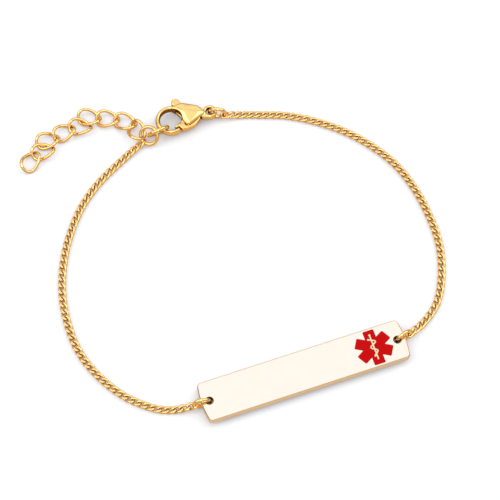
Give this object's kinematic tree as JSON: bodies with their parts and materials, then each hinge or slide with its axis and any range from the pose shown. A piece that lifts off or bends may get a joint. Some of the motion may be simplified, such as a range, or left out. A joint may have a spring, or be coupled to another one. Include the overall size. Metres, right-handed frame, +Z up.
{
  "type": "medical alert bracelet",
  "caption": "Medical alert chain bracelet: an engravable plate with an enamelled star, fine curb chain, a sprung claw clasp and an extension chain.",
  "frame": {"origin": "middle of the wrist loop, on the surface that the bracelet lies on", "axes": "+X along the plate towards its star end, +Y from the plate across the loop towards the clasp, +Z up from the surface"},
  "size_m": [0.071, 0.0674, 0.0044],
  "materials": {
    "polished_plate": "mirror polished plate, pale gold tone",
    "red_enamel": "glossy fired enamel",
    "gold_plate": "polished gold-tone plating on stainless steel",
    "gold_chain": "polished gold-tone wire",
    "pin_gold": "satin gold-tone pin end"
  },
  "bodies": {
    "bracelet": {"plate": "polished_plate", "star_enamel": "red_enamel", "plate_ring_left": "gold_plate", "plate_ring_right": "gold_plate", "chain_left": "gold_chain", "chain_right": "gold_chain", "eye_ring": "gold_plate", "clasp_body": "gold_plate", "clasp_pin": "pin_gold", "junction_ring": "gold_plate", "claw_ring": "gold_plate", "extension_link_1": "gold_chain", "extension_link_2": "gold_chain", "extension_link_3": "gold_chain", "extension_link_4": "gold_chain", "extension_link_5": "gold_chain", "extension_link_6": "gold_chain", "extension_link_7": "gold_chain", "extension_link_8": "gold_chain", "extension_link_9": "gold_chain"},
    "clasp_lever": {"clasp_lever": "gold_plate"}
  },
  "joints": [
    {"name": "lever_pivot", "type": "hinge", "parent": "bracelet", "child": "clasp_lever", "pos_m": [-0.0027, 0.02755, 0.0017], "axis": [0, 0, 1], "range_deg": [-25, 0], "stiffness_Nm_per_rad": 0.01, "springref_deg": 22.92}
  ]
}
